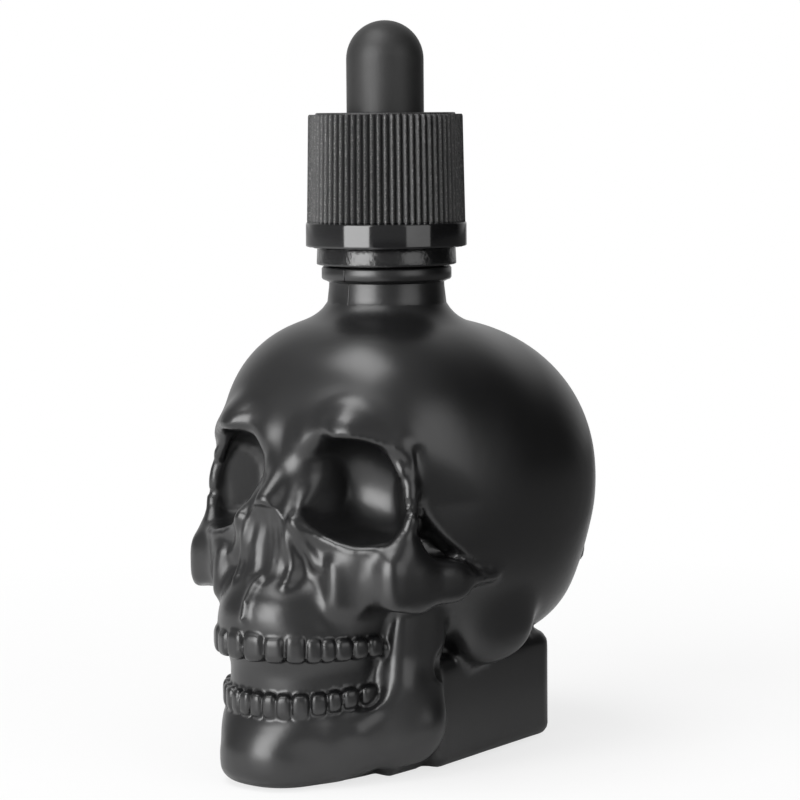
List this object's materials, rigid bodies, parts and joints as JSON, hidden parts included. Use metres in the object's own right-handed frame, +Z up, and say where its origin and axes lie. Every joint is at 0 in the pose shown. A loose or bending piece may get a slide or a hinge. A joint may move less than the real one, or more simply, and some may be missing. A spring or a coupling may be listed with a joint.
{
  "type": "dropper bottle",
  "caption": "Skull shaped black glass dropper bottle for bitters, with a push and turn ribbed cap, tamper ring, rubber bulb and glass pipette.",
  "frame": {"origin": "on the base plane, under the axis of the neck", "axes": "+Z up along the neck, -Y the way the face looks, +X the side that is on the right of someone facing -Y to +Y, the left side of the head"},
  "size_m": [0.0504, 0.0645, 0.105],
  "materials": {
    "skull_bottle": "black coated glass, satin",
    "tamper_ring": "black polypropylene",
    "inner_cap": "black polypropylene",
    "outer_cap": "black polypropylene, fine grain",
    "rubber_bulb": "black rubber, dull",
    "pipette": "clear drawn glass"
  },
  "bodies": {
    "bottle": {"skull_bottle": "skull_bottle"},
    "tamper_ring": {"tamper_ring": "tamper_ring"},
    "dropper": {"pipette": "pipette", "rubber_bulb": "rubber_bulb"},
    "inner_cap": {"inner_cap": "inner_cap"},
    "outer_cap": {"outer_cap": "outer_cap"}
  },
  "joints": [
    {"name": "tamper_ring_turn", "type": "hinge", "parent": "bottle", "child": "tamper_ring", "pos_m": [0, 0, 0.0717], "axis": [0, 0, 1], "continuous": true},
    {"name": "dropper_lift", "type": "slide", "parent": "bottle", "child": "dropper", "axis": [0, 0, 1], "range_m": [0, 0.07]},
    {"name": "cap_turn", "type": "hinge", "parent": "dropper", "child": "inner_cap", "pos_m": [0, 0, 0.08], "axis": [0, 0, 1], "range_deg": [0, 8400]},
    {"name": "cap_push", "type": "slide", "parent": "inner_cap", "child": "outer_cap", "axis": [0, 0, -1], "range_m": [0, 0.0009], "stiffness_N_per_m": 800, "springref_m": -0.002}
  ],
  "couplings": [
    {"joint": "cap_turn", "follows": "dropper_lift", "rad_per_m": 2094.4}
  ]
}
